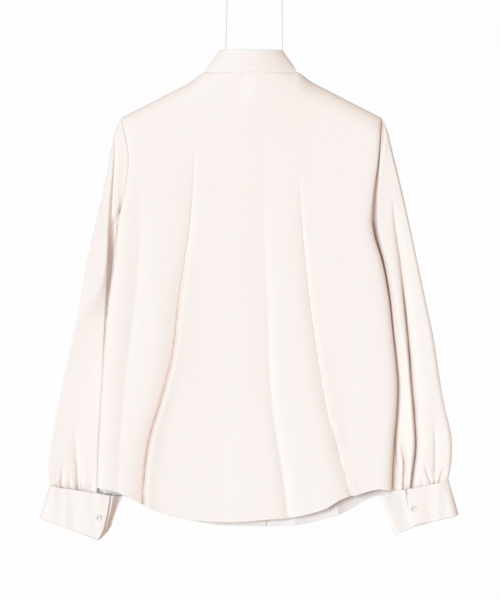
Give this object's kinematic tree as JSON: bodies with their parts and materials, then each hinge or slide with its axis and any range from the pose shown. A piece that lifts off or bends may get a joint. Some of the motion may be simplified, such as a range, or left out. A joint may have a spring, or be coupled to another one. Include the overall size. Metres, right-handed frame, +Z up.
{
  "type": "long-sleeve blouse on a hanger",
  "caption": "A thin long-sleeve blouse with a stand collar and gathered cuffs, hung by its shoulders on a plain hanger with a wire loop.",
  "frame": {"origin": "the underside of the hanger's wire loop, where a peg carries it", "axes": "+Z up, the front of the garment faces -Y and its back +Y, +X is the left side as seen from the back"},
  "size_m": [0.597, 0.0689, 0.7909],
  "materials": {
    "cloth": "fine matt weave, pale cream pink",
    "label": "smooth pale tape, blank",
    "button": "pearly gloss",
    "hanger": "smooth white"
  },
  "bodies": {
    "root": {"back": "cloth", "front_left": "cloth", "front_right": "cloth", "front_placket": "cloth", "collar": "cloth", "sleeve_left": "cloth", "sleeve_right": "cloth", "cuff_left": "cloth", "cuff_right": "cloth", "neck_label": "label", "collar_button": "button", "front_button_1": "button", "front_button_2": "button", "front_button_3": "button", "front_button_4": "button", "front_button_5": "button", "front_button_6": "button", "cuff_button_left": "button", "cuff_button_right": "button", "hanger_bar": "hanger", "hanger_wire": "hanger"}
  },
  "joints": []
}
